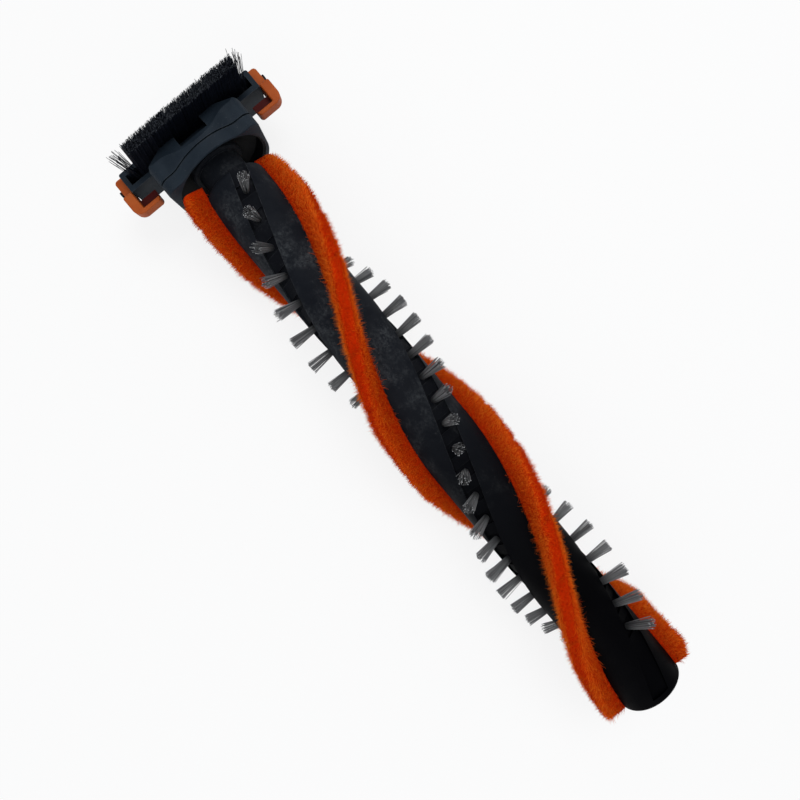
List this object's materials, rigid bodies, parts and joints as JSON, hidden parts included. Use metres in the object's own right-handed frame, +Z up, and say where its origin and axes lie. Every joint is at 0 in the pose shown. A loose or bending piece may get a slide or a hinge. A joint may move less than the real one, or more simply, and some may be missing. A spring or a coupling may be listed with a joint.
{
  "type": "robot vacuum roller brush",
  "caption": "Helical floor-cleaning roller with orange plush fins and grey bristle tufts, turning in a dark end block with a bristle skirt and orange latches.",
  "frame": {"origin": "centre of the drive socket's mouth, on the roller's free end face", "axes": "+X along the roller's axis and out of the free end, +Z up as the brush lies on its flat-based end block"},
  "size_m": [0.2796, 0.0718, 0.045],
  "materials": {
    "core_plastic": "black moulded plastic with scuffs and dust",
    "plush": "dense orange pile",
    "carrier_rubber": "black flexible strip",
    "tuft_nylon": "grey nylon filament bundles",
    "steel": "ground steel",
    "housing_plastic": "dark slate moulded plastic",
    "bronze": "sintered bearing bronze",
    "washer_plastic": "natural slippery plastic",
    "skirt_nylon": "dense black bristles with greyed tips",
    "latch_plastic": "orange moulded plastic"
  },
  "bodies": {
    "end_block": {"bearing_housing": "housing_plastic", "mouth_collar": "housing_plastic", "bearing_bush": "bronze", "thrust_washer": "washer_plastic", "skirt_backing_bar": "carrier_rubber", "skirt_bristles": "skirt_nylon", "latch_pin_left": "core_plastic", "latch_pin_right": "core_plastic"},
    "roller": {"core_tube": "core_plastic", "plush_strip_a": "plush", "plush_strip_b": "plush", "bristle_carrier_1": "carrier_rubber", "bristle_carrier_2": "carrier_rubber", "bristle_tufts_1": "tuft_nylon", "bristle_tufts_2": "tuft_nylon", "drive_end_cap": "core_plastic", "journal_plug": "core_plastic", "axle_pin": "steel", "retaining_washer": "steel"},
    "left_latch": {"latch_left": "latch_plastic"},
    "right_latch": {"latch_right": "latch_plastic"}
  },
  "joints": [
    {"name": "roller_spin", "type": "hinge", "parent": "end_block", "child": "roller", "pos_m": [0, 0, 0], "axis": [1, 0, 0], "continuous": true},
    {"name": "left_latch_swing", "type": "hinge", "parent": "end_block", "child": "left_latch", "pos_m": [-0.2751, -0.0333, -0.0016], "axis": [0, 1, 0], "range_deg": [0, 25]},
    {"name": "right_latch_swing", "type": "hinge", "parent": "end_block", "child": "right_latch", "pos_m": [-0.2751, 0.0333, -0.0016], "axis": [0, 1, 0], "range_deg": [0, 25]}
  ]
}
